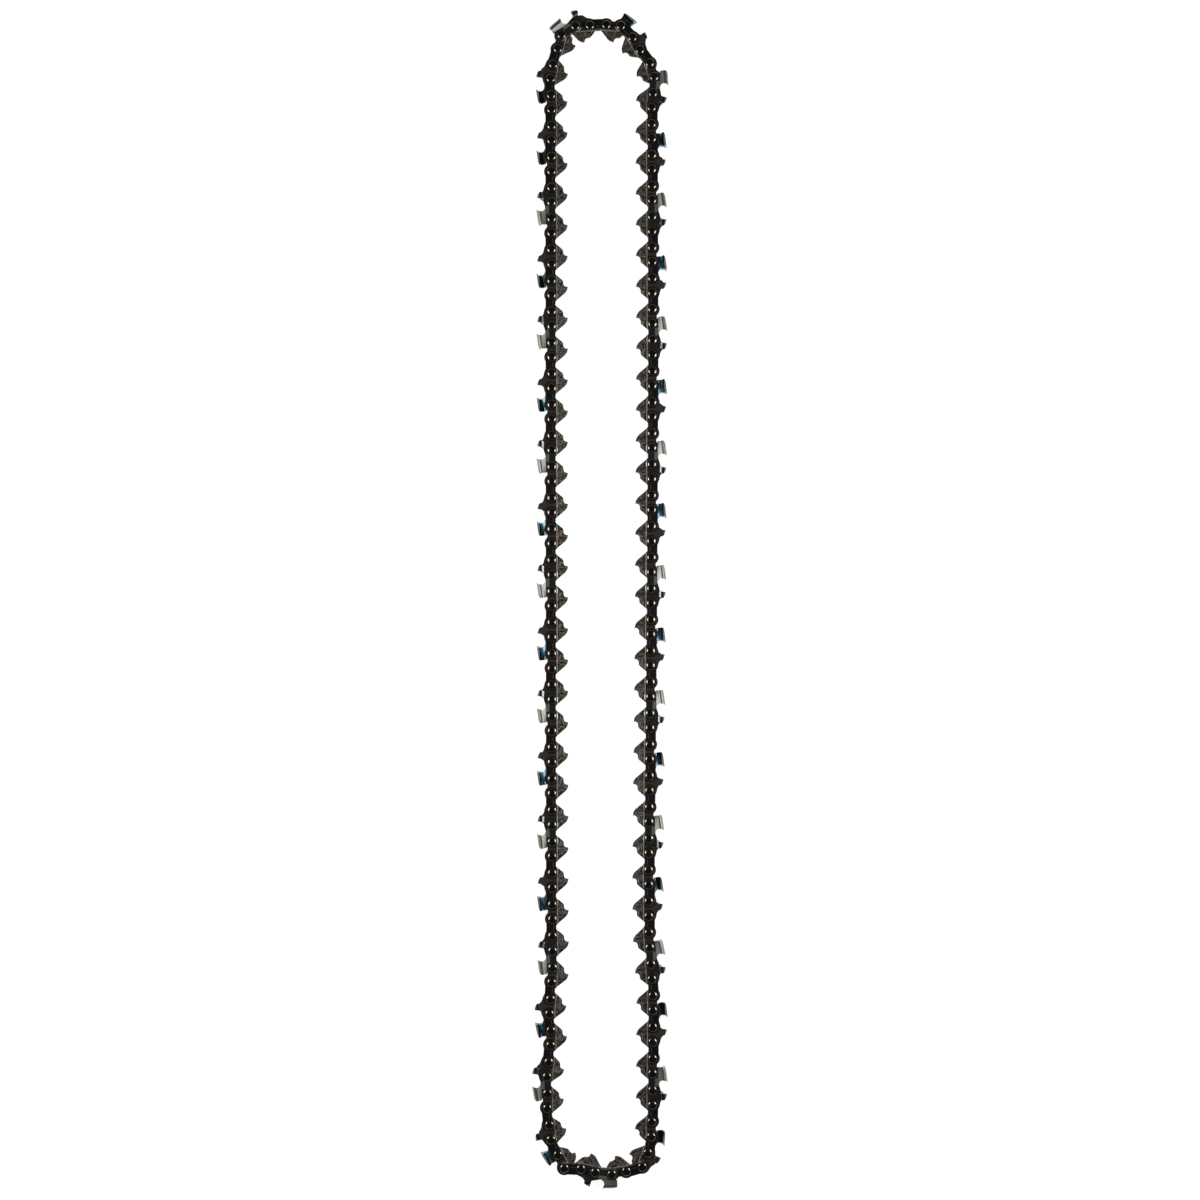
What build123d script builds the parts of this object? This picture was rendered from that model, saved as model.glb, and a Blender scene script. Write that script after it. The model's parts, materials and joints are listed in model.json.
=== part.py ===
"""Saw chain of a chainsaw: a closed loop of drive links, side links and rivets, lying flat on its side.

Each link is drawn in its own frame. X points the way the chain runs, Y away from the guide bar and Z across
the chain, with zero midway between the two side plates and between the link's own two holes. The loop is
then laid out in the XY plane with its long runs along Y, and rests on the corners of the left-hand cutters.
All lengths are in millimetres and all angles in degrees.
"""

import math
import os

from build123d import *

# Chain pattern
PITCH = 8.255  # half the distance over three rivets in a row
DRIVE_HOLES = 7.77  # between the two holes of a drive link
RUN_PAIRS = 34  # drive links along each long run
RUN_SECTIONS = 4  # stiff stretches that each long run is divided into
CUTTER_EVERY = 4  # a cutter on every second side link, counted in links
JOIN_LINK = 92  # the link where the row of cutters starts, with a left-hand one

# How the loop lies: bends at the rivets, anticlockwise positive, seen from above
BOTTOM_BENDS = (0.5, 62, -10.5, 5.5, 18.5, 4, 53.5, 9.5)  # along the bottom, from left to right
TOP_BENDS = (19, -6, 14, 42, 5.5, 0.5, 30, 42, -1.5, 7)  # along the top, from right to left
# The runs are straight but for these rivets, counted upwards from the bottom turn
LEFT_KINKS = {2: 7, 3: -2.25, 4: 8.75, 5: -0.75, 6: -5, 7: -6, 8: 8.75, 11: -4.25, 17: 0.25, 66: -1.25}
RIGHT_KINKS = {2: 1.75, 9: 4, 13: -3.5, 17: -0.75, 34: 0.25, 51: 0.5, 66: -5}
BOTTOM_HEADING = -65  # of the first link of the bottom turn
RIGHT_HEADING = 88  # of the first link of the right run
BOTTOM_HINGES = (0, 2, 5, 7)  # rivets where the stretches of the bottom turn begin
TOP_HINGES = (0, 4, 8)  # the same for the top turn

# Thicknesses across the chain, and fits
GAUGE = 1.27  # tang, to fit the guide bar's groove
DRIVE_BODY = 1.5  # drive link between the side plates
PLATE = 1.2  # tie strap or cutter side plate
SIDE_PLAY = 0.05  # between a drive link and the side plate beside it
PIVOT_PLAY = 0.06  # all round the journal, in the drive link
HUB_FIT = 0.02  # all round the hub, in the side plate
HEAD_FIT = 0.02  # under the rivet head

# Rivet
JOURNAL_R = 1.9
HUB_R = 1.4
HEAD_R = 2.25
HEAD_RIM = 0.25
HEAD_HEIGHT = 0.75
CROWN_R = 1.45  # where the head's slope eases off towards its middle
CROWN_FALL = 0.12

# Drive link
EAR_R = 3.95
SADDLE = 2.4  # top edge between the ears of a plain link
LEDGE = 2.4  # below the rivet line, where the body starts to thin down to the tang
LEDGE_SLOPE = 0.9
TANG_FRONT = ((7.1, -2.2), (4.2, -5.75), (3.4, -6.25), (2.3, -6.2))
TANG_NOTCH = (1.05, -6.8)  # on the hooked hollow ahead of the tip
TANG_TIP = (0.6, -8.65)
TANG_REAR = ((-1.2, -8.25), (-2.6, -7.35), (-6.85, -2.3))
BUMPER_FRONT = ((5.6, 3.0), (5.0, 3.8), (4.2, 4.05), (3.2, 4.2), (2.3, 4.5), (1.6, 4.95), (0.9, 5.6))
BUMPER_REAR = ((0.2, 5.95), (-2.0, 5.95), (-2.5, 5.5), (-3.3, 4.1), (-3.8, 3.4))

# Tie strap
STRAP_END_R = 3.2
WAIST = 2.1  # below the rivet line, midway between the holes
WAIST_R = 1.6
EDGE_BREAK = 0.2

# Cutter: the front outline goes by its front hole and the head by its rear hole
FOOT_R = 3.3
GULLET = 3.35  # floor of the gullet above the rivet line
GULLET_EDGE = ((-2.3, 3.6), (-0.6, 4.2), (0.5, 4.35), (1.35, 4.8), (1.55, 5.4))
DEPTH_GAUGE = ((1.9, 7.65), (2.5, 7.6), (3.9, 7.15), (5.05, 6.5), (5.3, 5.3), (4.05, 3.6))
FRONT_FOOT = ((4.05, -1.2), (2.6, -2.3))
GAUGE_BEND = (4.0, 5.4)  # heights between which the depth gauge leans outward
GAUGE_LEAN = 0.6
HEAD_FRONT = 5.15
HEAD_BACK = 3.8
HEAD_HEEL = 3.0
HEAD_FOOT = 1.5
CUTTER_TOP = 8.2
HEEL_TOP = 7.35
CUTTER_REACH = 3.5
HEEL_REACH = 3.25
SIDE_BEND = 3.2  # height where the side plate starts to lean outward
CORNER_R = 1.6
TOP_PLATE = 1.1
TOP_INNER = -0.2
FILE_R = 2.4
FILE_HEIGHT = 5.95
FILE_FRONT = 6.15
FILE_ANGLE = 25
STAMP_LENGTH = 4.7
STAMP_WIDTH = 1.6
STAMP_PLACE = (0.1, 2.3)
STAMP_DEPTH = 0.15

# Values that follow from the ones above
strap_holes = 2 * PITCH - DRIVE_HOLES
drive_hole = DRIVE_HOLES / 2
strap_hole = strap_holes / 2
plate_in = DRIVE_BODY / 2 + SIDE_PLAY
plate_out = plate_in + PLATE
head_seat = plate_out + HEAD_FIT
head_top = head_seat + HEAD_HEIGHT
outside = 2 * CUTTER_REACH + plate_out  # a depth that clears every side plate
run_links = 2 * RUN_PAIRS
first_right = len(BOTTOM_BENDS) + 1
first_top = first_right + run_links
first_left = first_top + len(TOP_BENDS) + 1
links = first_left + run_links


def link_length(number):
    """Hole spacing of a link: even ones are side links and odd ones drive links."""
    return strap_holes if number % 2 == 0 else DRIVE_HOLES


def walk(first, bends, heading):
    """Rivet centres of a row of links from the origin on, with a bend at each rivet between two of them."""
    points = [(0.0, 0.0)]
    for step, bend in enumerate((0, *bends)):
        heading += bend
        reach = link_length(first + step)
        x = points[-1][0] + reach * math.cos(math.radians(heading))
        y = points[-1][1] + reach * math.sin(math.radians(heading))
        points.append((x, y))
    return points


def placed(points, start, end):
    """The same row of points, moved and turned so that it runs from start to end."""
    wanted = math.atan2(end[1] - start[1], end[0] - start[0])
    turn = wanted - math.atan2(points[-1][1], points[-1][0])
    cosine = math.cos(turn)
    sine = math.sin(turn)
    return [
        (start[0] + cosine * x - sine * y, start[1] + sine * x + cosine * y) for x, y in points
    ]


def run_bends(kinks, downward):
    """Bends along a long run, straight except at the given rivets above the bottom turn."""
    rising = [kinks.get(place, 0) for place in range(1, run_links)]
    return rising[::-1] if downward else rising


# Loop: the bottom turn and the right run are laid first, and the left run and the top turn close it
bottom = walk(0, BOTTOM_BENDS, BOTTOM_HEADING)
right = walk(first_right, run_bends(RIGHT_KINKS, False), RIGHT_HEADING)
right = [(bottom[-1][0] + x, bottom[-1][1] + y) for x, y in right]
top = walk(first_top, TOP_BENDS, 0)
left = walk(first_left, run_bends(LEFT_KINKS, True), 0)
diagonal = math.dist(bottom[0], right[-1])
left_chord = math.dist(left[0], left[-1])
top_chord = math.dist(top[0], top[-1])
along = (diagonal**2 + left_chord**2 - top_chord**2) / (2 * diagonal)
aside = math.sqrt(left_chord**2 - along**2)
way = ((right[-1][0] - bottom[0][0]) / diagonal, (right[-1][1] - bottom[0][1]) / diagonal)
shoulder = (
    bottom[0][0] + way[0] * along - way[1] * aside,
    bottom[0][1] + way[1] * along + way[0] * aside,
)
top = placed(top, right[-1], shoulder)
left = placed(left, shoulder, bottom[0])
rivets = bottom[:-1] + right[:-1] + top[:-1] + left[:-1]

# Rivet: journal in the drive link, hubs in the side plates and a low crowned head on each side
with BuildPart() as rivet:
    with BuildSketch(Plane.XZ):
        with BuildLine():
            Polyline(
                (0, 0),
                (JOURNAL_R, 0),
                (JOURNAL_R, plate_in - HEAD_FIT),
                (HUB_R, plate_in - HEAD_FIT),
                (HUB_R, head_seat),
                (HEAD_R, head_seat),
                (HEAD_R, head_seat + HEAD_RIM),
                (CROWN_R, head_top - CROWN_FALL),
                (0, head_top),
                close=True,
            )
        make_face()
    revolve(axis=Axis.Z)
    mirror(about=Plane.XY)

# Drive links: plain, and with a bumper hump between the ears
drives = {}
for drive_name, crest in {"plain": (), "bumper": BUMPER_FRONT + BUMPER_REAR}.items():
    with BuildPart() as drive:
        with BuildSketch(Plane.XY.offset(-DRIVE_BODY / 2)):
            with Locations((drive_hole, 0), (-drive_hole, 0)):
                Circle(EAR_R)
            with Locations((0, SADDLE / 2)):
                Rectangle(DRIVE_HOLES, SADDLE)
            with BuildLine():
                Polyline((-drive_hole, 0), (drive_hole, 0), *TANG_FRONT)
                ThreePointArc(TANG_FRONT[-1], TANG_NOTCH, TANG_TIP)
                Polyline(TANG_TIP, *TANG_REAR, (-drive_hole, 0))
            make_face()
            if crest:
                with BuildLine():
                    Polyline((drive_hole, 0), *crest, (-drive_hole, 0), close=True)
                make_face()
            with Locations((drive_hole, 0), (-drive_hole, 0)):
                Circle(JOURNAL_R + PIVOT_PLAY, mode=Mode.SUBTRACT)
        extrude(amount=DRIVE_BODY)
        low = TANG_TIP[1] - DRIVE_BODY
        with BuildSketch(Plane.YZ):
            with BuildLine():
                Polyline(
                    (-LEDGE, DRIVE_BODY / 2),
                    (-LEDGE - LEDGE_SLOPE, GAUGE / 2),
                    (low, GAUGE / 2),
                    (low, DRIVE_BODY),
                    (-LEDGE, DRIVE_BODY),
                    close=True,
                )
            make_face()
            mirror(about=Plane.XZ)
        extrude(amount=2 * PITCH, both=True, mode=Mode.SUBTRACT)
    drives[drive_name] = drive.part

# Tie strap on the near side: straight outside, waisted towards the guide bar
with BuildPart() as near_strap:
    with BuildSketch(Plane.XY.offset(plate_in)) as strap_outline:
        with Locations((strap_hole, 0), (-strap_hole, 0)):
            Circle(STRAP_END_R)
        with Locations((0, (STRAP_END_R - WAIST) / 2)):
            Rectangle(strap_holes, STRAP_END_R + WAIST)
        waist_corners = strap_outline.vertices().group_by(Axis.Y)[0]
        fillet(waist_corners, WAIST_R)
    extrude(amount=PLATE)
    chamfer(near_strap.faces().sort_by(Axis.Z)[-1].edges(), EDGE_BREAK)
    with BuildSketch(Plane.XY):
        with Locations((strap_hole, 0), (-strap_hole, 0)):
            Circle(HUB_R + HUB_FIT)
    extrude(amount=outside, mode=Mode.SUBTRACT)

with BuildPart() as far_strap:
    mirror(near_strap.part, about=Plane.XY)

# Cutter foot with its depth gauge, a flat plate whose gauge leans outward
with BuildPart() as cutter_foot:
    with BuildSketch(Plane.XY):
        with Locations((strap_hole, 0), (-strap_hole, 0)):
            Circle(FOOT_R)
        with Locations((0, (GULLET - WAIST) / 2)):
            Rectangle(strap_holes, GULLET + WAIST)
        front_edge = (*GULLET_EDGE, *DEPTH_GAUGE, *FRONT_FOOT)
        with BuildLine():
            Polyline((0, 0), (0, GULLET), *((strap_hole + x, y) for x, y in front_edge), close=True)
        make_face()
    extrude(amount=outside)
    with BuildSketch(Plane.YZ):
        with BuildLine():
            Polyline(
                (-outside, plate_in),
                (-outside, plate_out),
                (GAUGE_BEND[0], plate_out),
                (GAUGE_BEND[1], plate_out + GAUGE_LEAN),
                (outside, plate_out + GAUGE_LEAN),
                (outside, plate_in + GAUGE_LEAN),
                (GAUGE_BEND[1], plate_in + GAUGE_LEAN),
                (GAUGE_BEND[0], plate_in),
                close=True,
            )
        make_face()
    extrude(amount=2 * outside, both=True, mode=Mode.INTERSECT)

# Cutter head: side plate leaning out to a rounded corner, and the top plate, lower and narrower at the heel
head_ends = (
    (-strap_hole - HEAD_BACK, HEEL_TOP, HEEL_REACH),
    (-strap_hole + HEAD_FRONT, CUTTER_TOP, CUTTER_REACH),
)
with BuildPart() as cutter_head:
    for place, crown, reach in head_ends:
        bulge = CORNER_R * math.sqrt(0.5)
        with BuildSketch(Plane.YZ.offset(place)):
            with BuildLine():
                Polyline(
                    (crown, reach - CORNER_R),
                    (crown, TOP_INNER),
                    (crown - TOP_PLATE, TOP_INNER),
                    (crown - TOP_PLATE, reach - PLATE),
                    (SIDE_BEND, plate_in),
                    (HEAD_FOOT, plate_in),
                    (HEAD_FOOT, plate_out),
                    (SIDE_BEND, plate_out),
                    (crown - CORNER_R, reach),
                )
                ThreePointArc(
                    (crown - CORNER_R, reach),
                    (crown - CORNER_R + bulge, reach - CORNER_R + bulge),
                    (crown, reach - CORNER_R),
                )
            make_face()
    loft(ruled=True)
    with BuildSketch(Plane.XY.offset(-outside)):
        with BuildLine():
            Polyline(
                (-strap_hole + HEAD_FRONT, HEAD_FOOT),
                (-strap_hole + HEAD_FRONT, outside),
                (-strap_hole - HEAD_BACK, outside),
                (-strap_hole - HEAD_BACK, HEEL_TOP),
                (-strap_hole - FOOT_R, HEAD_HEEL),
                (-strap_hole - FOOT_R + HEAD_FOOT, HEAD_FOOT),
                close=True,
            )
        make_face()
    extrude(amount=2 * outside, mode=Mode.INTERSECT)
    slant = (math.sin(math.radians(FILE_ANGLE)), 0, math.cos(math.radians(FILE_ANGLE)))
    file_axis = Plane((-strap_hole + FILE_FRONT, FILE_HEIGHT, CUTTER_REACH), (0, 1, 0), slant)
    with BuildSketch(file_axis):
        Circle(FILE_R)
    extrude(amount=outside, both=True, mode=Mode.SUBTRACT)

with BuildPart() as right_cutter:
    add(cutter_foot.part)
    add(cutter_head.part)
    with BuildSketch(Plane.XY):
        with Locations((strap_hole, 0), (-strap_hole, 0)):
            Circle(HUB_R + HUB_FIT)
    extrude(amount=outside, mode=Mode.SUBTRACT)
    with BuildSketch(Plane.XY.offset(plate_out)):
        with Locations(STAMP_PLACE):
            SlotOverall(STAMP_LENGTH, STAMP_WIDTH)
    extrude(amount=-STAMP_DEPTH, mode=Mode.SUBTRACT)

with BuildPart() as left_cutter:
    mirror(right_cutter.part, about=Plane.XY)


def is_left(number):
    """Cutters alternate from the join on, and the first and last are both left-hand ones if they are odd."""
    return (number - JOIN_LINK) % links // CUTTER_EVERY % 2 == 0


def place_of(number):
    """Where a link lies: midway between its rivets, running from the second to the first."""
    front = rivets[number]
    rear = rivets[(number + 1) % links]
    angle = math.degrees(math.atan2(front[1] - rear[1], front[0] - rear[0]))
    return Location(((front[0] + rear[0]) / 2, (front[1] + rear[1]) / 2, 0), (0, 0, angle))


# The loop is centred by its outermost pieces and stands on its lowest ones
outer_boxes = [
    left_cutter.part.moved(place_of(number)).bounding_box() for number in range(0, links, CUTTER_EVERY)
]
middle_x = (min(box.min.X for box in outer_boxes) + max(box.max.X for box in outer_boxes)) / 2
middle_y = (min(box.min.Y for box in outer_boxes) + max(box.max.Y for box in outer_boxes)) / 2
centred = Location((-middle_x, -middle_y, -outer_boxes[0].min.Z))

# Stretches of the loop, each from one hinge rivet to the next
run_starts = [run_links * step // RUN_SECTIONS for step in range(RUN_SECTIONS)]
starts = {
    "bottom": [*BOTTOM_HINGES],
    "right": [first_right + step for step in run_starts],
    "top": [first_top + step for step in TOP_HINGES],
    "left": [first_left + step for step in run_starts],
}
hinges = [(f"{side}_{place + 1}", first) for side, row in starts.items() for place, first in enumerate(row)]

os.makedirs("parts", exist_ok=True)
for order, (stretch, first) in enumerate(hinges):
    last = hinges[order + 1][1] if order + 1 < len(hinges) else links
    numbers = range(first, last)
    side_links = [number for number in numbers if number % 2 == 0]
    cutters = [number for number in side_links if number % CUTTER_EVERY == 0]
    straps = [number for number in side_links if number % CUTTER_EVERY]
    lefts = [number for number in cutters if is_left(number)]
    rights = [number for number in cutters if not is_left(number)]
    ahead = [number for number in numbers if (number + 1) % CUTTER_EVERY == 0]
    plains = [number for number in numbers if number % 2 and number not in ahead]
    ends = [end for number in side_links for end in (number, number + 1)]
    pivots = [Location((*rivets[end % links], 0)) for end in ends]

    nodes = {
        "drive_links": (
            (drives["plain"], [place_of(number) for number in plains]),
            (drives["bumper"], [place_of(number) for number in ahead]),
        ),
        "tie_straps": (
            (near_strap.part, [place_of(number) for number in straps + lefts]),
            (far_strap.part, [place_of(number) for number in straps + rights]),
        ),
        "cutters": (
            (right_cutter.part, [place_of(number) for number in rights]),
            (left_cutter.part, [place_of(number) for number in lefts]),
        ),
        "rivets": ((rivet.part, pivots),),
    }
    for kind, groups in nodes.items():
        with BuildPart() as node:
            for piece, places in groups:
                if places:
                    with Locations(*(centred * at for at in places)):
                        add(piece)
        if node.part is not None:
            node.part.label = f"{stretch}_{kind}"
            export_step(node.part, f"parts/{stretch}_{kind}.step")
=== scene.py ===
# %% [markdown]
# # A saw chain lying on its side
#
# The chain is a closed loop of drive links, tie straps, cutters and rivets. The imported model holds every
# link as a solid at its real place and size. This lesson gives each group of links a finer mesh and the
# finish of the real steel: black oxide, coined steel, hard chrome and polished rivet heads.

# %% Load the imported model
import json
import math

import bpy
import numpy as np
from mathutils import Matrix, Vector
from mathutils.geometry import delaunay_2d_cdt

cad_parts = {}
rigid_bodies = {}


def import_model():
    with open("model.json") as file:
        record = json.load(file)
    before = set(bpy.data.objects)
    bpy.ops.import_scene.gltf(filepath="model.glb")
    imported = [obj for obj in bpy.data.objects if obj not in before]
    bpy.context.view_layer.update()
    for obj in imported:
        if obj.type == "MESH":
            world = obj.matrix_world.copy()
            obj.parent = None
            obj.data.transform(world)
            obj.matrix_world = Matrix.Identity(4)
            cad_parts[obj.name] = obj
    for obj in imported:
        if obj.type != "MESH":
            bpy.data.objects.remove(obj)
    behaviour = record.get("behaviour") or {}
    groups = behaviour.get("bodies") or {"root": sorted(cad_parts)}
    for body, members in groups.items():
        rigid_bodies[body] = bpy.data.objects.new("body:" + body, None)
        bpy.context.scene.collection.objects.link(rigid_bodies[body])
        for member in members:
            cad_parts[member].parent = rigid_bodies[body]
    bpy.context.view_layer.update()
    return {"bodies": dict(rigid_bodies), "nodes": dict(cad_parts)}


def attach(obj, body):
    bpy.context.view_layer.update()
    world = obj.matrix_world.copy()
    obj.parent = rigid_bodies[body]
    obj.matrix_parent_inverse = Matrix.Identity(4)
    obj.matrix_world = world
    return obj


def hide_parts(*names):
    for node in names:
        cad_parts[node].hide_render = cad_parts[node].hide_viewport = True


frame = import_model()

MM = 0.001

# %% [markdown]
# ## Finding the rivets
#
# The links could be placed by copying the loop's layout, but the model already knows it. Each rivet head
# ends in a point at its own centre, so the highest corners of the rivet nodes are the rivet centres. They
# are put in order by walking from each rivet to the nearest one not yet visited.

# %% Read the rivet centres from the frame
PEAK_DEPTH = 0.005  # how far below the highest corner a corner still counts as a rivet's peak


def corners(node):
    """Corners of a node's mesh in millimetres, one row each."""
    mesh = frame["nodes"][node].data
    flat = np.empty(3 * len(mesh.vertices), np.float32)
    mesh.vertices.foreach_get("co", flat)
    return flat.reshape(-1, 3).astype(float) / MM


solids = {node: corners(node) for node in frame["nodes"]}
stretches = [body for body in frame["bodies"] if f"{body}_rivets" in solids]
rivet_corners = np.concatenate([solids[f"{stretch}_rivets"] for stretch in stretches])
rivet_low, rivet_high = rivet_corners[:, 2].min(), rivet_corners[:, 2].max()
middle_height = (rivet_low + rivet_high) / 2
peaks = rivet_corners[rivet_corners[:, 2] > rivet_high - PEAK_DEPTH, :2]
peaks = peaks[np.unique(peaks.round(1), axis=0, return_index=True)[1]]

order = [0]
while len(order) < len(peaks):
    away = np.linalg.norm(peaks - peaks[order[-1]], axis=1)
    away[order] = np.inf
    order.append(int(away.argmin()))
rivets = peaks[order]
turning = rivets[:, 0] * np.roll(rivets[:, 1], -1) - rivets[:, 1] * np.roll(rivets[:, 0], -1)
if turning.sum() < 0:
    rivets = rivets[::-1]
print(len(rivets), "rivets, middle plane", round(middle_height, 3), "mm above the floor")

# %% [markdown]
# ## Telling the links apart
#
# Two rivets that share a drive link are closer together than two that share a side link. The nodes say the
# rest: a side link with a cutter has cutter corners near its middle, above or below the middle plane by its
# hand, and a drive link with a bumper has corners far out from the rivet line.

# %% List the links with their places and stretches
NEAR_MIDDLE = 4.0  # a cutter's corners come this near to the middle of its link
CREST = 5.9  # how far out a bumper's crest lies, and how near to that place its corners come
CREST_REACH = 2.0

fronts, rears = rivets, np.roll(rivets, -1, axis=0)
spans = np.linalg.norm(fronts - rears, axis=1)
middles = (fronts + rears) / 2
travels = (fronts - rears) / spans[:, None]
outwards = np.column_stack([-travels[:, 1], travels[:, 0]])
drive_holes, side_holes = spans.min(), spans.max()


def nearest(node, place):
    """Distance from a place on the loop to a node's nearest corner seen from above, and that corner."""
    away = np.linalg.norm(solids[node][:, :2] - place, axis=1)
    return away.min(), solids[node][away.argmin()]


def stretch_of(kind, place):
    """The stretch of the loop whose node of this kind is nearest to a place."""
    near = {s: nearest(f"{s}_{kind}", place)[0] for s in stretches if f"{s}_{kind}" in solids}
    return min(near, key=near.get)


links = {kind: {} for kind in ("plain", "bumper", "near_strap", "far_strap", "right_cutter", "left_cutter")}
for number, place in enumerate(middles):
    if spans[number] < (drive_holes + side_holes) / 2:
        stretch = stretch_of("drive_links", place)
        crest = nearest(f"{stretch}_drive_links", place + CREST * outwards[number])[0]
        links["bumper" if crest < CREST_REACH else "plain"].setdefault(stretch, []).append(number)
        continue
    stretch = stretch_of("tie_straps", place)
    sides = {"near_strap", "far_strap"}
    if f"{stretch}_cutters" in solids:
        distance, corner = nearest(f"{stretch}_cutters", place)
        if distance < NEAR_MIDDLE:
            right_hand = corner[2] > middle_height
            links["right_cutter" if right_hand else "left_cutter"].setdefault(stretch, []).append(number)
            sides.remove("near_strap" if right_hand else "far_strap")
    for side in sides:
        links[side].setdefault(stretch, []).append(number)
print({kind: sum(len(row) for row in rows.values()) for kind, rows in links.items()})

# %% [markdown]
# ## Plates with rounded edges
#
# Straps, drive links and cutter feet are stamped from sheet steel. A stamped plate is an outline carried
# through its thickness, with its corners rolled over. Here a few rings are drawn: the outline itself, and
# copies of it drawn in along the corners' bisectors where the edge rolls over. The flat faces are filled by a
# triangulation that also takes points inside, so that a plate can be bent or dished afterwards. A bevel
# modifier could round the edges too, but rings keep the same count of corners on every link.

# %% Shapes as arrays
def shape(points, quads, triangles, mark=0.0):
    """A shape: points, faces of four and three corners, and one number per point for its finish."""
    points = np.asarray(points, float).reshape(-1, 3)
    quads = np.asarray(quads, int).reshape(-1, 4)
    triangles = np.asarray(triangles, int).reshape(-1, 3)
    return points, quads, triangles, np.broadcast_to(np.asarray(mark, float), len(points)).copy()


def joined(shapes):
    """Several shapes as one, each with its corners counted on from those before."""
    starts = np.cumsum([0] + [len(one[0]) for one in shapes[:-1]])
    faces = [np.concatenate([one[i] + start for one, start in zip(shapes, starts)]) for i in (1, 2)]
    points, _, _, *fields = zip(*shapes)
    return np.concatenate(points), *faces, *(np.concatenate(field) for field in fields)


def mirrored(one):
    """The other hand of a shape: its third coordinate changes sign, and its faces turn round."""
    points, quads, triangles, mark = one
    return points * (1, 1, -1), quads[:, ::-1], triangles[:, ::-1], mark


def tube(rings, count):
    """Quads between rings of count points each, ring after ring from the top down, faces outwards."""
    ring, step = np.meshgrid(np.arange(rings - 1), np.arange(count), indexing="ij")
    after = (step + 1) % count
    return np.stack(
        [ring * count + step, (ring + 1) * count + step, (ring + 1) * count + after, ring * count + after],
        axis=-1,
    ).reshape(-1, 4)


# %% Outlines
EASE_SHARE = 0.45  # an eased corner takes at most this share of the runs beside it


def smooth(value, low, high):
    """0 below low, 1 above high, and an even S between."""
    share = np.clip((value - low) / (high - low), 0, 1)
    return share * share * (3 - 2 * share)


def arc(centre, radius, start, end, count):
    """Points of a circle from one angle to another, in degrees."""
    angle = np.radians(np.linspace(start, end, count))
    return np.column_stack([centre[0] + radius * np.cos(angle), centre[1] + radius * np.sin(angle)])


def eased(corner_points, radius, count=5):
    """Straight runs with each inner corner eased off by a parabola that starts and ends that far from it."""
    points = np.asarray(corner_points, float)
    before = points[:-2] - points[1:-1]
    after = points[2:] - points[1:-1]
    reach_before = np.minimum(radius, EASE_SHARE * np.linalg.norm(before, axis=1))
    reach_after = np.minimum(radius, EASE_SHARE * np.linalg.norm(after, axis=1))
    first = points[1:-1] + before * (reach_before / np.linalg.norm(before, axis=1))[:, None]
    last = points[1:-1] + after * (reach_after / np.linalg.norm(after, axis=1))[:, None]
    share = np.linspace(0, 1, count)[None, :, None]
    curve = (
        (1 - share) ** 2 * first[:, None] + 2 * share * (1 - share) * points[1:-1, None]
        + share**2 * last[:, None]
    )
    row = np.concatenate([points[:1], curve.reshape(-1, 2), points[-1:]])
    apart = np.linalg.norm(np.diff(row, axis=0), axis=1) > 1e-6
    return row[np.concatenate([[True], apart])]


def spaced(outline, step):
    """The same closed outline with points added so that none are further apart than step."""
    ahead = np.roll(outline, -1, axis=0)
    parts = np.maximum(1, np.ceil(np.linalg.norm(ahead - outline, axis=1) / step)).astype(int)
    start = np.repeat(np.arange(len(outline)), parts)
    share = np.arange(parts.sum()) - np.repeat(np.cumsum(parts) - parts, parts)
    share = (share / np.repeat(parts, parts))[:, None]
    return outline[start] * (1 - share) + ahead[start] * share


def bisectors(loop):
    """Directions from an outline's corners to its left, long enough to draw each edge in by one."""
    edge = np.roll(loop, -1, axis=0) - loop
    edge /= np.linalg.norm(edge, axis=1)[:, None]
    left = np.column_stack([-edge[:, 1], edge[:, 0]])
    before = np.roll(left, 1, axis=0)
    return (left + before) / np.maximum(1 + (left * before).sum(axis=1), 0.5)[:, None]


# %% Filled faces
ROW_CLEAR = 0.4  # grid points nearer than this share of the grid to a row or to a rim are left out
RIM_CLEAR = 0.5


def inside(points, loop):
    """Which points lie in a closed outline: those whose ray to the side crosses it an odd number of times."""
    start, end = loop[None], np.roll(loop, -1, axis=0)[None]
    px, py = points[:, None, 0], points[:, None, 1]
    spanned = (start[..., 1] > py) != (end[..., 1] > py)
    rise = np.where(end[..., 1] == start[..., 1], 1e-12, end[..., 1] - start[..., 1])
    crossing = start[..., 0] + (py - start[..., 1]) * (end[..., 0] - start[..., 0]) / rise
    return (spanned & (px < crossing)).sum(axis=1) % 2 == 1


def filled(loops, grid, rows=()):
    """Triangles over the first outline, less the outlines after it, through the grid points well inside.

    Rows of points are added at the heights given, where the face is to be folded.
    """
    low, high = loops[0].min(axis=0), loops[0].max(axis=0)
    levels = np.arange(low[1], high[1], grid)
    for row in rows:
        levels = levels[np.abs(levels - row) > ROW_CLEAR * grid]
    across, along = np.meshgrid(np.arange(low[0], high[0], grid), np.concatenate([levels, rows]))
    extra = np.column_stack([across.ravel(), along.ravel()])
    rim = np.concatenate(loops)
    clear = np.linalg.norm(extra[:, None] - rim[None], axis=2).min(axis=1) > RIM_CLEAR * grid
    clear &= inside(extra, loops[0])
    for hole in loops[1:]:
        clear &= ~inside(extra, hole)
    extra = extra[clear]
    counts = [len(loop) for loop in loops]
    starts = np.cumsum([0] + counts)
    edges = [
        (start + step, start + (step + 1) % count)
        for start, count in zip(starts, counts) for step in range(count)
    ]
    points = np.concatenate([rim, extra])
    faces = delaunay_2d_cdt([Vector(p) for p in points], edges, [], 1, 1e-7)[2]
    faces = np.array([face[:3] for face in faces])
    owner = np.repeat(np.arange(len(loops) + 1), counts + [len(extra)])[faces]
    in_hole = (owner == owner[:, :1]).all(axis=1) & (owner[:, 0] > 0) & (owner[:, 0] < len(loops))
    return extra, faces[~in_hole]


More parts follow.
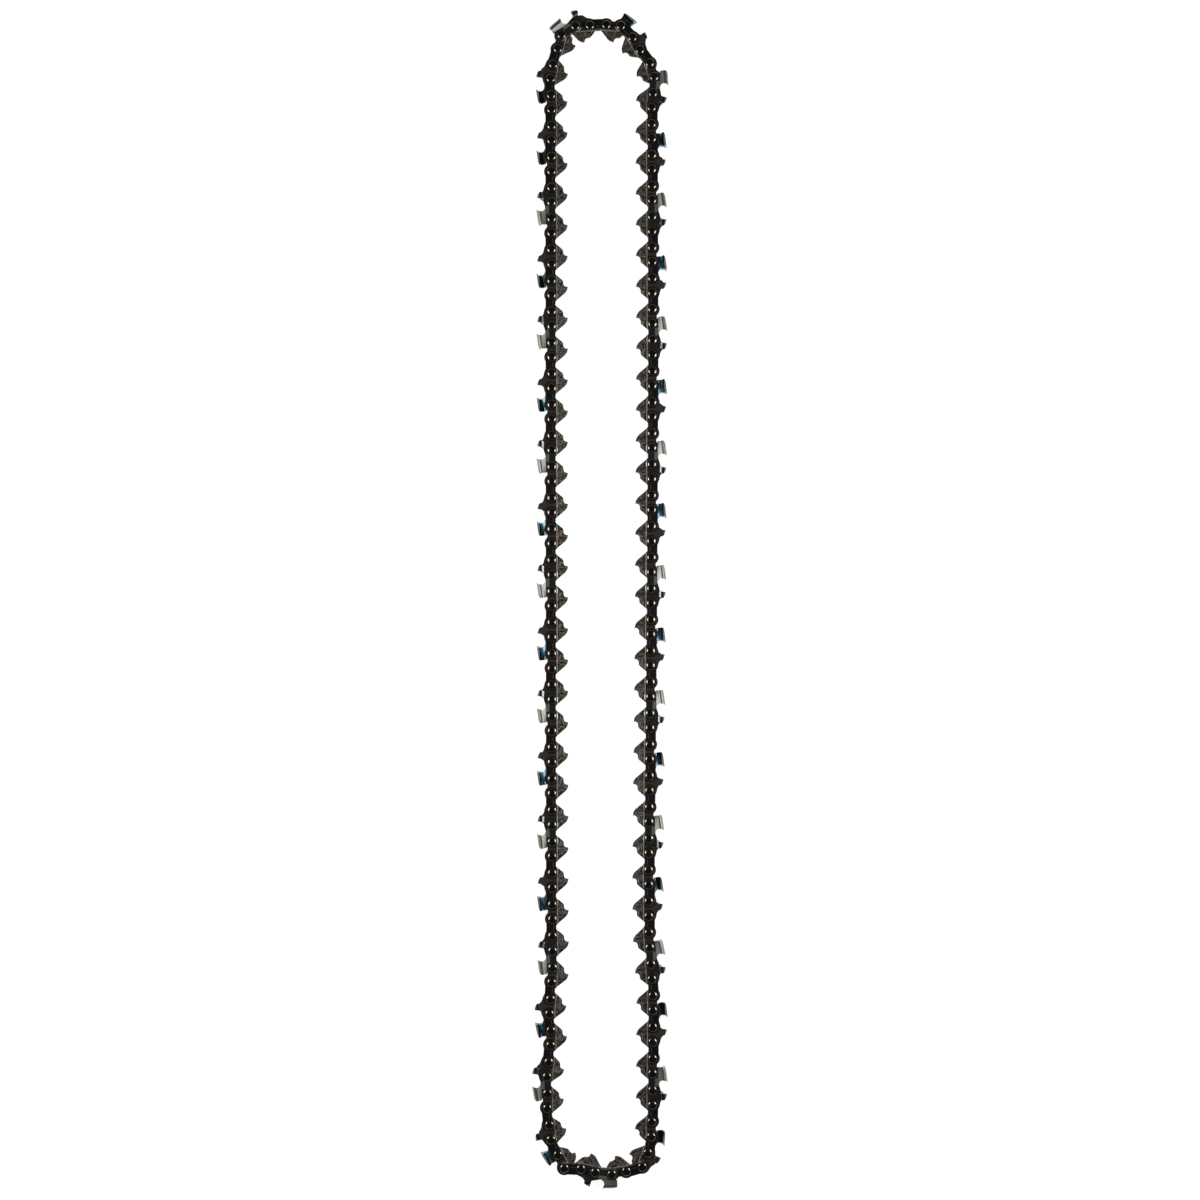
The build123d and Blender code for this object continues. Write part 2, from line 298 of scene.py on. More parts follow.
# %% Plates
ROLL = ((1.0, 0.0), (0.29, 0.29), (0.0, 1.0))  # a quarter circle: share drawn in, share of depth
LIP = 0.5  # width of the flat lip beside a rolled edge, as a share of the roll
RECESS_DRAFT = 0.12  # how far the floor of a recess is drawn in from its edge


def plate(outline, holes, low, high, edge, grid, rows=(), recess=None, recess_depth=0.0):
    """A stamped plate: an anticlockwise outline and clockwise holes between two heights, with rolled edges.

    A recess is one more clockwise outline, sunk into the upper face only, whose floor is marked with 1.
    """
    lip = LIP * edge
    upper = [(edge + lip, high)] + [(edge * a, high - edge * b) for a, b in ROLL]
    lower = [(edge * a, low + edge * b) for a, b in ROLL[::-1]] + [(edge + lip, low)]
    rings = upper + lower
    shapes, tops, bottoms = [], [], []
    for loop in [outline, *holes]:
        inward = bisectors(loop)
        points = [np.column_stack([loop + d * inward, np.full(len(loop), h)]) for d, h in rings]
        shapes.append(shape(np.concatenate(points), tube(len(rings), len(loop)), []))
        tops.append(points[0][:, :2])
        bottoms.append(points[-1][:, :2])
    if recess is not None:
        depths = [(0.0, high), (0.0, high - 0.5 * recess_depth), (-RECESS_DRAFT, high - recess_depth)]
        inward = bisectors(recess)
        points = [np.column_stack([recess + d * inward, np.full(len(recess), h)]) for d, h in depths]
        mark = np.repeat([0.0, 0.5, 1.0], len(recess))
        shapes.append(shape(np.concatenate(points), tube(len(depths), len(recess)), [], mark))
        floor = points[-1][::-1, :2]
        extra, faces = filled([floor], grid)
        sunk = np.full(len(floor) + len(extra), high - recess_depth)
        ground = np.column_stack([np.concatenate([floor, extra]), sunk])
        shapes.append(shape(ground, [], faces, 1.0))
        tops.append(recess)
    for loops, height, turn in ((tops, high, 1), (bottoms, low, -1)):
        extra, faces = filled(loops, grid, rows)
        flat = np.concatenate([*loops, extra])
        face = np.column_stack([flat, np.full(len(flat), height)])
        shapes.append(shape(face, [], faces[:, ::turn]))
    return joined(shapes)


# %% [markdown]
# ## Drive link
#
# The drive link runs in the guide bar's groove: two ears carry the rivets, and the tang hangs down into
# the sprocket with a hook that sweeps the groove clean. Below the ears it is coined thinner, which leaves a
# ledge. Every second one carries a bumper hump that fills the gap ahead of a cutter's depth gauge.

# %% Drive link shapes
DRIVE_BODY = 1.5
GAUGE = 1.27
DRIVE_EDGE = 0.14
EAR_R = 3.95
SADDLE = 2.4
LEDGE = (-2.98, -2.62)
JOURNAL_HOLE = 1.96
TANG = (
    (-6.85, -2.3), (-2.6, -7.35), (-1.2, -8.25), (0.6, -8.65), (0.68, -7.6), (1.15, -6.65),
    (2.3, -6.2), (3.4, -6.25), (4.2, -5.75), (7.1, -2.2),
)
TANG_EASE = (0.8, 0.6, 0.0, 0.5, 0.5, 0.4, 0.4, 0.4)  # at each corner but the two ends; the hook stays sharp
BUMPER = (
    (5.0, 3.79), (4.2, 4.05), (3.2, 4.2), (2.3, 4.5), (1.6, 4.95), (0.9, 5.6), (0.2, 5.95),
    (-2.0, 5.95), (-2.5, 5.5), (-3.3, 4.1), (-3.43, 3.92),
)
CREST_EASE = 0.5
EAR_POINTS = 18
DRIVE_STEP = 0.8
PLATE_GRID = 0.9

drive_hole = drive_holes / 2
ear_front, ear_rear = (drive_hole, 0.0), (-drive_hole, 0.0)


def round_hole(place, radius, count=20):
    """A clockwise circle."""
    return arc((place, 0.0), radius, 0, -360, count + 1)[:-1]


def on_ear(start, end, hole):
    """Where the line from start to end leaves or meets the ear's circle on the side of its end."""
    start, run = np.array(start) - (hole, 0), np.subtract(end, start)
    a, b, c = run @ run, 2 * start @ run, start @ start - EAR_R**2
    return start + (hole, 0) + run * (-b - math.sqrt(b * b - 4 * a * c)) / (2 * a)


def bearing(point, hole):
    """Direction of a point as seen from a rivet hole, in degrees."""
    return math.degrees(math.atan2(point[1], point[0] - hole))


def drive_outline(crest):
    """Front ear, saddle or bumper, rear ear and tang, anticlockwise."""
    front_meet, rear_meet = on_ear(TANG[-2], TANG[-1], drive_hole), on_ear(TANG[1], TANG[0], -drive_hole)
    low, rear_end = bearing(front_meet, drive_hole), 360 + bearing(rear_meet, -drive_hole)
    high = 180 - math.degrees(math.asin(SADDLE / EAR_R))
    front_end = bearing(crest[0], drive_hole) if crest else high
    rear_start = bearing(crest[-1], -drive_hole) if crest else 180 - high
    top = [eased(crest, CREST_EASE)[1:-1]] if crest else []
    front = arc(ear_front, EAR_R, low, front_end, EAR_POINTS)
    rear = arc(ear_rear, EAR_R, rear_start, rear_end, EAR_POINTS)
    tang = eased([rear_meet, *TANG[1:-1], front_meet], np.array(TANG_EASE))[1:-1]
    return spaced(np.concatenate([front, *top, rear, tang]), DRIVE_STEP)


def drive_link(crest):
    """A plate as thick as the body, thinned to the bar's gauge below the ledge."""
    holes = [round_hole(side * drive_hole, JOURNAL_HOLE) for side in (1, -1)]
    made = plate(drive_outline(crest), holes, -DRIVE_BODY / 2, DRIVE_BODY / 2, DRIVE_EDGE, PLATE_GRID, LEDGE)
    thin = 1 - smooth(made[0][:, 1], *LEDGE)
    made[0][:, 2] *= 1 - thin * (1 - GAUGE / DRIVE_BODY)
    return made


drive_shapes = {"plain": drive_link(()), "bumper": drive_link(BUMPER)}
print({name: len(one[0]) for name, one in drive_shapes.items()}, "points in a drive link")

# %% [markdown]
# ## Tie strap
#
# Two straps join neighbouring drive links. The outer edge is straight, and the edge towards the bar is
# waisted so that the strap clears the rail. Where its round ends ride on the rail, a slope is worn along
# them.

# %% Tie strap shapes
PLATE = 1.2
PLATE_IN = 0.8
PLATE_OUT = PLATE_IN + PLATE
STRAP_END_R = 3.2
WAIST = 2.1
WAIST_TURN = 14  # degrees of each round end that the waist's easing takes
WAIST_EASE = (1.1, 7)  # reach and points
END_POINTS = (28, 28)
STRAP_STEP = 0.9
STRAP_EDGE = 0.28
HUB_HOLE = 1.42
WORN_FROM = -2.45
WORN_SLOPE = 0.4

side_hole = side_holes / 2


def ends_and_waist(radius, front_end, rear_start, counts):
    """The round ends of a side plate, up to these angles at its outer edge, and the waist eased into them."""
    dip = math.degrees(math.asin(WAIST / radius))
    front = arc((side_hole, 0), radius, -180 + dip + WAIST_TURN, front_end, counts[0])
    rear = arc((-side_hole, 0), radius, rear_start, 360 - dip - WAIST_TURN, counts[1])
    meet = side_hole - radius * math.cos(math.radians(dip))
    waist = eased([rear[-1], (-meet, -WAIST), (meet, -WAIST), front[0]], *WAIST_EASE)[1:-1]
    return front, rear, waist


def strap_outline():
    """Two round ends joined by a straight outer edge and a waist, anticlockwise."""
    return spaced(np.concatenate(ends_and_waist(STRAP_END_R, 90, 90, END_POINTS)), STRAP_STEP)


def worn(made):
    """The outer face drawn down along the edge that rides on the rail, more with the way past the fold."""
    outer = made[0][:, 2] > (PLATE_IN + PLATE_OUT) / 2
    made[0][outer, 2] -= WORN_SLOPE * np.maximum(WORN_FROM - made[0][outer, 1], 0)
    return made


def near_strap():
    """The strap on the upper side of the chain."""
    holes = [round_hole(side * side_hole, HUB_HOLE) for side in (1, -1)]
    return worn(plate(strap_outline(), holes, PLATE_IN, PLATE_OUT, STRAP_EDGE, PLATE_GRID, (WORN_FROM,)))


strap_shapes = {"near_strap": near_strap()}
strap_shapes["far_strap"] = mirrored(strap_shapes["near_strap"])
print(len(strap_shapes["near_strap"][0]), "points in a tie strap")

# %% [markdown]
# ## Cutter
#
# A cutter is bent from one plate. Its foot takes the place of a strap and carries the depth gauge at the
# front. Behind the gullet the side plate leans outward, turns over a rounded corner and becomes the top
# plate, filed to a hollow edge at the front. The head is a profile carried from heel to edge: each point
# of the profile stops where its line along the chain meets the round file.

# %% Cutter shapes
FOOT_R = 3.3
FOOT_ENDS = (-58, 112)  # degrees at which the front and the rear arc meet the upper edge
FOOT_POINTS = (12, 22)
GULLET = 3.35
GULLET_FRONT = 0.6
RIDGE_EASE = 0.35
FOOT_STEP = 0.6
FRONT_EDGE = (
    (4.05, -1.2), (4.05, 3.6), (5.3, 5.3), (5.05, 6.5), (3.9, 7.15), (2.5, 7.6), (1.9, 7.65),
    (1.55, 5.4), (1.35, 4.8), (0.5, 4.35), (-0.6, 4.2), (-2.3, 3.6),
)
GAUGE_BEND = (4.0, 5.4)
GAUGE_LEAN = 0.6
HEAD_FRONT = 5.15
HEAD_BACK = (3.3, 3.8)
HEAD_HEEL = 3.0
CUTTER_TOP = 8.2
HEEL_TOP = 6.95
HEEL_ROUND = (0.5, 0.22)  # how far the heel's corner is rounded off, and over which share of the length
CUTTER_REACH = 3.3
HEEL_REACH = 3.1
SIDE_BEND = 3.0
CORNER_R = 1.9
TOP_PLATE = 1.1
TOP_INNER = -0.2
FILE_R = 2.4
FILE_HEIGHT = 5.95
FILE_FRONT = 6.15
FILE_ANGLE = 25
STAMP = (4.7, 1.6)
STAMP_PLACE = (0.1, 2.1)
STAMP_DEPTH = 0.15
CUTTER_EDGE = 0.16
CUTTER_GRID = 0.7
HEAD_ROOT = 2.85  # the head's profile starts inside the foot, just below its upper edge
ROOT_INSET = 0.25  # and this far inside its faces
HEAD_PROUD = 0.01  # keeps the head's face clear of the foot's
SIDE_POINTS = 8
CORNER_POINTS = 16
TOP_POINTS = 4
HEAD_STATIONS = 12


def foot_outline():
    """Front foot, depth gauge, gullet, rear end under the head and waist, anticlockwise."""
    front, rear, waist = ends_and_waist(FOOT_R, *FOOT_ENDS, FOOT_POINTS)
    front_edge = [(side_hole + x, y) for x, y in FRONT_EDGE]
    gullet = [(GULLET_FRONT, GULLET), (-side_hole, GULLET)]
    ridge = eased([front[-1], *front_edge, *gullet, rear[0]], RIDGE_EASE)[1:-1]
    return spaced(np.concatenate([front, ridge, rear, waist]), FOOT_STEP)


def slot_outline():
    """The oval stamp, clockwise."""
    half, radius = STAMP[0] / 2 - STAMP[1] / 2, STAMP[1] / 2
    x, y = STAMP_PLACE
    return np.concatenate([arc((x + half, y), radius, 90, -90, 9), arc((x - half, y), radius, 270, 90, 9)])


def cutter_foot():
    """The flat plate with its depth gauge leaning outward and the oval stamp sunk into its outer face."""
    holes = [round_hole(side * side_hole, HUB_HOLE) for side in (1, -1)]
    stamp = {"recess": slot_outline(), "recess_depth": STAMP_DEPTH}
    sizes = (PLATE_IN, PLATE_OUT, CUTTER_EDGE, CUTTER_GRID)
    made = plate(foot_outline(), holes, *sizes, (WORN_FROM,), **stamp)
    made[0][:, 2] += GAUGE_LEAN * smooth(made[0][:, 1], *GAUGE_BEND)
    return worn(made)


def head_profile(crown, reach):
    """Outer and inner line of the head, point for point: root, side plate, corner, top plate.

    The corner is an arc that the side plate touches, so the lean is the angle of the tangent from the bend.
    """
    bend = np.array([SIDE_BEND, PLATE_OUT + HEAD_PROUD])
    centre = np.array([crown - CORNER_R, reach - CORNER_R])
    run, rise = centre - bend
    lean = math.atan2(rise, run) + math.asin(CORNER_R / math.hypot(run, rise))
    across = np.array([-math.sin(lean), math.cos(lean)])
    share = np.linspace(0, 1, SIDE_POINTS)[:, None]
    lines = []
    for depth, root in ((0.0, PLATE_OUT - ROOT_INSET), (TOP_PLATE, PLATE_IN + ROOT_INSET)):
        radius = CORNER_R - depth
        start, end = bend - depth * across, centre + radius * across
        lines.append(np.concatenate([
            [(HEAD_ROOT, root)],
            start + (end - start) * share,
            arc(centre, radius, 90 + math.degrees(lean), 0, CORNER_POINTS)[1:],
            np.column_stack([
                np.full(TOP_POINTS, crown - depth), np.linspace(centre[1], TOP_INNER, TOP_POINTS + 1)[1:]
            ]),
        ]))
    return lines


def filed_front(heights, across):
    """Where a line along the chain at this height and depth meets the round file, or the plate's own end."""
    own_end = HEAD_FRONT - side_hole
    skew = math.radians(FILE_ANGLE)
    axis = FILE_FRONT - side_hole + (across - CUTTER_REACH) * math.tan(skew)
    half = np.sqrt(np.maximum(FILE_R**2 - (heights - FILE_HEIGHT) ** 2, 0)) / math.cos(skew)
    return np.minimum(own_end, np.where(half > 0, axis - half, own_end))


def cutter_head():
    """The profile carried from heel to front, as a loop out along the outside and back along the inside.

    The heel's upper corner is rounded off, and the inside is marked with -1.
    """
    heel = head_profile(HEEL_TOP, HEEL_REACH)
    front = head_profile(CUTTER_TOP, CUTTER_REACH)
    heel_loop = np.concatenate([heel[0], heel[1][::-1]])
    front_loop = np.concatenate([front[0], front[1][::-1]])
    back = -side_hole - np.interp(heel_loop[:, 0], (HEAD_HEEL, HEEL_TOP), HEAD_BACK)
    end = filed_front(front_loop[:, 0], front_loop[:, 1])
    share = np.linspace(0, 1, HEAD_STATIONS)[:, None]
    along = back + (end - back) * share
    full = (along - back.min()) / (HEAD_FRONT - side_hole - back.min())
    high, out = (heel_loop[:, i] + (front_loop - heel_loop)[:, i] * full for i in (0, 1))
    lost = HEEL_ROUND[0] * np.maximum(1 - full / HEEL_ROUND[1], 0) ** 2
    high = high - lost * (high - SIDE_BEND).clip(0) / (HEEL_TOP - SIDE_BEND)
    grid = np.stack([along, high, out], axis=-1)
    count = len(heel_loop)
    sides = tube(HEAD_STATIONS, count)[:, ::-1]
    pairs = np.arange(count // 2 - 1)
    cap = np.column_stack([pairs, pairs + 1, count - 2 - pairs, count - 1 - pairs])
    last = (HEAD_STATIONS - 1) * count
    mark = np.tile(np.repeat([0.0, -1.0], count // 2), HEAD_STATIONS)
    return shape(grid, np.concatenate([sides, cap[:, ::-1], cap + last]), [], mark)


def right_cutter():
    """Foot and head together."""
    return joined([cutter_foot(), cutter_head()])


cutter_shapes = {"right_cutter": right_cutter()}
cutter_shapes["left_cutter"] = mirrored(cutter_shapes["right_cutter"])
print(len(cutter_shapes["right_cutter"][0]), "points in a cutter")

# %% [markdown]
# ## Rivet
#
# Each rivet head is spun into a low button that is polished by the spinning tool. It is nearly flat in the
# middle and leans more and more towards its rim, so a lamp at each side draws one bright spot near the rim.

# %% Rivet shape
HEAD_R = 2.33
HEAD_SEAT = 2.02
HEAD_HEIGHT = 0.75
LEAN_AT = (1.86, 22.0)  # the button leans this many degrees at this radius
LEAN_GROWTH = 1.8
DOME_POINTS = 9
DOME_SPREAD = 0.75  # below one, so that the dome's rings lie closer together towards the rim
RIM_ROLL = 0.08
JOURNAL_R = 1.9
HUB_R = 1.4
HUB_CLEAR = 0.02
RIVET_STEPS = 22


def lathe(profile, steps):
    """A profile of radius and height turned about the axis, where it starts and ends; it runs downwards."""
    angle = np.linspace(0, 2 * math.pi, steps, endpoint=False)
    radius, height = profile[1:-1, 0], profile[1:-1, 1]
    ring = np.stack([
        radius[:, None] * np.cos(angle), radius[:, None] * np.sin(angle), height[:, None] + 0 * angle
    ], axis=-1).reshape(-1, 3)
    points = np.concatenate([ring, [(0, 0, profile[0, 1])], [(0, 0, profile[-1, 1])]])
    step = np.arange(steps)
    after = (step + 1) % steps
    last = len(ring) - steps
    top = np.column_stack([np.full(steps, len(ring)), step, after])
    bottom = np.column_stack([np.full(steps, len(ring) + 1), last + after, last + step])
    return shape(points, tube(len(radius), steps), np.concatenate([top, bottom]))


def rivet():
    """Button, rim, hub and journal from the top down, and the same turned over below.

    The lean grows as a power of the radius, and the height falls by the sum of its tangent.
    """
    radius = (HEAD_R - RIM_ROLL) * np.linspace(0, 1, DOME_POINTS) ** DOME_SPREAD
    lean = np.radians(LEAN_AT[1]) * (radius / LEAN_AT[0]) ** LEAN_GROWTH
    fall = np.cumsum(np.diff(radius) * np.tan((lean[1:] + lean[:-1]) / 2))
    dome = np.column_stack([radius, HEAD_SEAT + HEAD_HEIGHT - np.concatenate([[0.0], fall])])
    rim = dome[-1, 1] - RIM_ROLL
    stem = [
        (HEAD_R, rim), (HEAD_R, HEAD_SEAT), (HUB_R, HEAD_SEAT),
        (HUB_R, PLATE_IN - HUB_CLEAR), (JOURNAL_R, PLATE_IN - HUB_CLEAR),
    ]
    upper = np.concatenate([dome, stem])
    return lathe(np.concatenate([upper, upper[::-1] * (1, -1)]), RIVET_STEPS)


rivet_shape = rivet()
print(len(rivet_shape[0]), "points in a rivet")

# %% [markdown]
# ## Finishes
#
# All of the chain is steel, so most of its look is in how it reflects. What differs is the skin: black oxide
# on the straps, bare coined steel on the tangs, hard chrome on the cutters and a polish on the rivets. The
# patterns follow each link's own directions, so every point carries where it is in its link, in
# millimetres, and a number that differs from link to link. Uneven skin is one shared node group.

# %% Node helpers
def linked(tree, value, socket):
    """Joins a node's output to a socket, or sets the socket to a plain value."""
    if isinstance(value, bpy.types.NodeSocket):
        tree.links.new(value, socket)
    else:
        socket.default_value = value


def node(tree, kind, inputs=(), **settings):
    """A new node with its settings and inputs, by name or number."""
    made = tree.nodes.new(kind)
    for name, value in settings.items():
        setattr(made, name, value)
    for name, value in dict(inputs).items():
        linked(tree, value, made.inputs[name])
    return made


def maths(tree, operation, first, second=0.0, clamp=False):
    """One sum of two numbers."""
    inputs = {0: first, 1: second}
    return node(tree, "ShaderNodeMath", inputs, operation=operation, use_clamp=clamp).outputs[0]


def times(tree, first, second):
    """The product of two numbers."""
    return maths(tree, "MULTIPLY", first, second)


def noise(tree, place, own, **settings):
    """A noise that differs from link to link."""
    inputs = {"Vector": place, "W": own, **settings}
    return node(tree, "ShaderNodeTexNoise", inputs, noise_dimensions="4D").outputs[0]


def ramped(tree, value, low, high, to_low=0.0, to_high=1.0):
    """A number taken from one range to another along an S."""
    inputs = {"Value": value, "From Min": low, "From Max": high, "To Min": to_low, "To Max": to_high}
    made = node(tree, "ShaderNodeMapRange", inputs, interpolation_type="SMOOTHSTEP")
    return made.outputs["Result"]


def between(tree, share, first, second):
    """A number between two others."""
    return maths(tree, "ADD", first, times(tree, share, maths(tree, "SUBTRACT", second, first)))


def mixed(tree, share, first, second):
    """A colour between two others."""
    made = node(tree, "ShaderNodeMix", {"Factor": share}, data_type="RGBA")
    colours = [socket for socket in made.inputs if socket.type == "RGBA"]
    for socket, colour in zip(colours, (first, second)):
        linked(tree, (*colour, 1.0) if isinstance(colour, tuple) else colour, socket)
    return next(socket for socket in made.outputs if socket.type == "RGBA")


# %% The shared grain
PATCHES = {"Scale": 0.45, "Detail": 2.0}
GRAIN_DETAIL = 3.0
NOISE_RANGE = (0.3, 0.7)  # most of the noise lies between these values


def skin_group():
    """Uneven skin of heat-treated steel: slow patches and fine grain, each from 0 to 1."""
    group = bpy.data.node_groups.new("uneven_skin", "ShaderNodeTree")
    for name, kind in (("Place", "Vector"), ("Own", "Float"), ("Grain Scale", "Float")):
        group.interface.new_socket(name, in_out="INPUT", socket_type=f"NodeSocket{kind}")
    for name in ("Patches", "Grain"):
        group.interface.new_socket(name, in_out="OUTPUT", socket_type="NodeSocketFloat")
    given = node(group, "NodeGroupInput")
    place, own, scale = (given.outputs[name] for name in ("Place", "Own", "Grain Scale"))
    patches = noise(group, place, own, **PATCHES)
    grain = noise(group, place, own, Scale=scale, Detail=GRAIN_DETAIL)
    fields = {"Patches": ramped(group, patches, *NOISE_RANGE), "Grain": ramped(group, grain, *NOISE_RANGE)}
    node(group, "NodeGroupOutput", fields)
    return group


uneven_skin = skin_group()
finishes = {}
print("node group:", uneven_skin.name)


# %% Material helpers
def steel(name, **plain):
    """A new steel material with its tree, shader, place in the link, that place's parts, and link number."""
    material = bpy.data.materials.new(name)
    material.use_nodes = True
    tree = material.node_tree
    shader = tree.nodes["Principled BSDF"]
    for socket, value in plain.items():
        shader.inputs[socket.replace("_", " ")].default_value = value
    place = node(tree, "ShaderNodeAttribute", attribute_name="place").outputs["Vector"]
    own = node(tree, "ShaderNodeAttribute", attribute_name="own").outputs["Fac"]
    parts = node(tree, "ShaderNodeSeparateXYZ", {0: place}).outputs
    return material, tree, shader, place, parts, own


def grained(tree, place, own, scale):
    """The shared uneven skin placed in a material."""
    made = node(tree, "ShaderNodeGroup", node_tree=uneven_skin)
    for name, value in (("Place", place), ("Own", own), ("Grain Scale", scale)):
        linked(tree, value, made.inputs[name])
    return made.outputs["Patches"], made.outputs["Grain"]


def bumped(tree, shader, height, distance, strength):
    """Relief in metres from a height of 0 to 1."""
    inputs = {"Height": height, "Distance": distance, "Strength": strength}
    linked(tree, node(tree, "ShaderNodeBump", inputs).outputs[0], shader.inputs["Normal"])


# %% [markdown]
# ### Black oxide on the tie straps
#
# Oxide is a thin dark conversion layer, soft in its shine, slightly browner or bluer from patch to patch. The
# rollers of the press leave one burnished streak along the waist. Along the rolled edge on the rails' side a
# thin pale line is painted into the colour, a painted highlight for the light that edge catches.

# %% Strap finish
OXIDE_BROWN = (0.016, 0.011, 0.011)
OXIDE_BLUE = (0.009, 0.010, 0.014)
BURNISH = (0.17, 0.20, 0.27)
STREAK = (-0.65, 0.32, 1.9)  # where it lies across the strap, half its width, and half its length
# painted highlight: a pale blue colour along the rail-side edge, standing for light caught there
EDGE_HIGHLIGHT = (0.36, 0.41, 0.47)
EDGE_HIGHLIGHT_SIDE = (-2.65, -2.45)  # where across the link the painted edge highlight lies, on the rails' side
STREAK_BOW = -0.06
STREAK_FULL = 0.3  # share of the streak's length before it fades
STREAK_STRENGTH = 0.75
OXIDE_GRAIN = 9.0
OXIDE_SPECULAR = 0.45
OXIDE_METAL = (0.35, 0.9)  # under the oxide, and under the painted edge highlight
OXIDE_ROUGH = (0.36, 0.52)
OXIDE_RELIEF = (0.000012, 0.6)  # metres, and strength


def strap_finish():
    """Patches of brown and blue black, with a streak that follows the waist's curve."""
    material, tree, shader, place, parts, own = steel(
        "strap_black_oxide", Specular_IOR_Level=OXIDE_SPECULAR
    )
    patches, grain = grained(tree, place, own, OXIDE_GRAIN)
    skin = mixed(tree, patches, OXIDE_BROWN, OXIDE_BLUE)
    curve = times(tree, times(tree, parts[0], parts[0]), STREAK_BOW)
    offset = maths(tree, "SUBTRACT", parts[1], maths(tree, "ADD", curve, STREAK[0]))
    across = ramped(tree, maths(tree, "ABSOLUTE", offset), 0.0, STREAK[1], 1.0, 0.0)
    along = ramped(tree, maths(tree, "ABSOLUTE", parts[0]), STREAK_FULL * STREAK[2], STREAK[2], 1.0, 0.0)
    streak = times(tree, times(tree, across, along), STREAK_STRENGTH)
    # painted highlight along the rail-side edge, pale in colour and metallic
    edge_highlight = ramped(tree, parts[1], *EDGE_HIGHLIGHT_SIDE, 1.0, 0.0)
    skin = mixed(tree, streak, skin, BURNISH)
    linked(tree, mixed(tree, edge_highlight, skin, EDGE_HIGHLIGHT), shader.inputs["Base Color"])
    linked(tree, ramped(tree, edge_highlight, 0.0, 1.0, *OXIDE_METAL), shader.inputs["Metallic"])
    linked(tree, ramped(tree, grain, 0.0, 1.0, *OXIDE_ROUGH), shader.inputs["Roughness"])
    bumped(tree, shader, grain, *OXIDE_RELIEF)
    return material


finishes["tie_straps"] = strap_finish()
print("finish:", finishes["tie_straps"].name)


# %% [markdown]
# ### Coined steel on the drive links
#
# The tang is struck thinner in a die, and the die's torn surface leaves the same lines on every link: along
# the chain at the front, and turning down towards the hook at the rear. The lines are noise drawn out along a
# direction, and the direction turns where the rear begins; a line lies where the noise crosses its middle
# value, as a contour does on a map. On the ledge above, a pale metallic strip is a painted highlight, warmer
# near the middle of the link.

# %% Drive link finish
BODY_DULL = (0.075, 0.067, 0.055)
BODY_DARK = (0.054, 0.046, 0.040)
TANG_DARK = (0.078, 0.067, 0.059)
TANG_LIGHT = (0.66, 0.605, 0.54)
TANG_METAL = 0.85
LINE_WIDTH = 0.06  # how far the noise strays from its middle value across half a line
# painted highlight on the ledge: pale blue, warmer near the middle of the link
LEDGE_HIGHLIGHT = (0.72, 0.78, 0.84)
LEDGE_HIGHLIGHT_WARM = (0.86, 0.82, 0.77)
TANG_ZONE = (-3.1, -2.95)
LEDGE_HIGHLIGHT_ZONE = (-3.05, -2.45)
LEDGE_HIGHLIGHT_FADE = (0.1, 0.15)
HIGHLIGHT_WARM_ZONE = (0.8, 2.0)
LINK_SHIFT = 0.02  # how little the die lines differ from link to link
SWIRL = (0.5, 2.2)  # scale and depth of the slow bends
REAR_TURN = (-0.9, 0.7)  # where along the link the lines turn
FRONT_SLANT = 0.2
REAR_SLANT = 0.25
LINE_STRETCH = 0.22
LINE_NOISE = {"Scale": 1.45, "Detail": 1.2, "Roughness": 0.5}
LINE_FAINT = 0.55  # strength of a line where the grain is weakest
LINE_RELIEF = (0.00005, 0.8)
BODY_PATCHES = 0.6
DRIVE_GRAIN = 6.0
DRIVE_METAL = (0.3, 0.8)  # the body and the ledge
DRIVE_ROUGH = (0.42, 0.6)
LEDGE_GLOSS = 0.12


